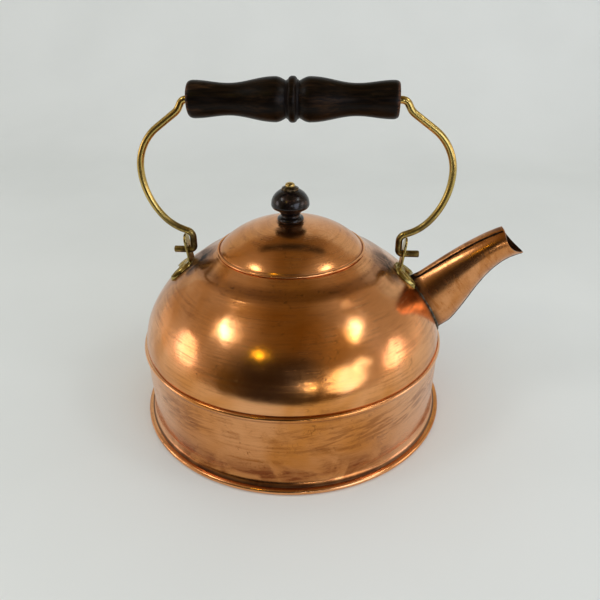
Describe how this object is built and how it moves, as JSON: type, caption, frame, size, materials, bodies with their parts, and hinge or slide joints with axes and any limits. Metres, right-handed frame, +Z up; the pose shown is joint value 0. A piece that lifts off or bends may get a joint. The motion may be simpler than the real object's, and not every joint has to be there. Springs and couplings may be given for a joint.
{
  "type": "kettle",
  "caption": "Domed copper kettle with a short upswept spout, a swinging brass wire handle with a turned wooden grip, and a lift-off lid with a turned wooden knob.",
  "frame": {"origin": "centre of the underside of the base, on the surface the kettle stands on", "axes": "+Z up, +X towards the spout, so the handle swings about an axis parallel to X"},
  "size_m": [0.2295, 0.19, 0.1992],
  "materials": {
    "copper": "polished copper, worn, with fine turning marks, stains and tarnish",
    "solder": "dull soft solder with dark green tarnish",
    "brass": "golden brass with olive tarnish",
    "dark_wood": "dark brown varnish worn to reddish wood on the high places",
    "knob_wood": "near-black glossy varnish",
    "dark_metal": "dark patinated metal"
  },
  "bodies": {
    "kettle": {"base_plate": "copper", "lower_wall": "copper", "dome": "copper", "spout_near": "copper", "spout_far": "copper", "spout_solder": "solder", "front_ear": "brass", "rear_ear": "brass"},
    "handle": {"handle_wire": "brass"},
    "grip_body": {"grip": "dark_wood"},
    "lid": {"lid_shell": "copper", "lid_skirt": "copper", "lid_knob": "knob_wood", "knob_collar": "dark_metal", "knob_bolt": "brass", "knob_washer": "brass", "knob_nut": "brass"}
  },
  "joints": [
    {"name": "handle_swing", "type": "hinge", "parent": "kettle", "child": "handle", "pos_m": [0, 0, 0.101], "axis": [1, 0, 0], "range_deg": [-96, 96]},
    {"name": "grip_spin", "type": "hinge", "parent": "handle", "child": "grip_body", "pos_m": [0, 0, 0.1875], "axis": [1, 0, 0], "continuous": true},
    {"name": "lid_lift", "type": "slide", "parent": "kettle", "child": "lid", "axis": [0, 0, 1], "range_m": [0, 0.028]}
  ]
}
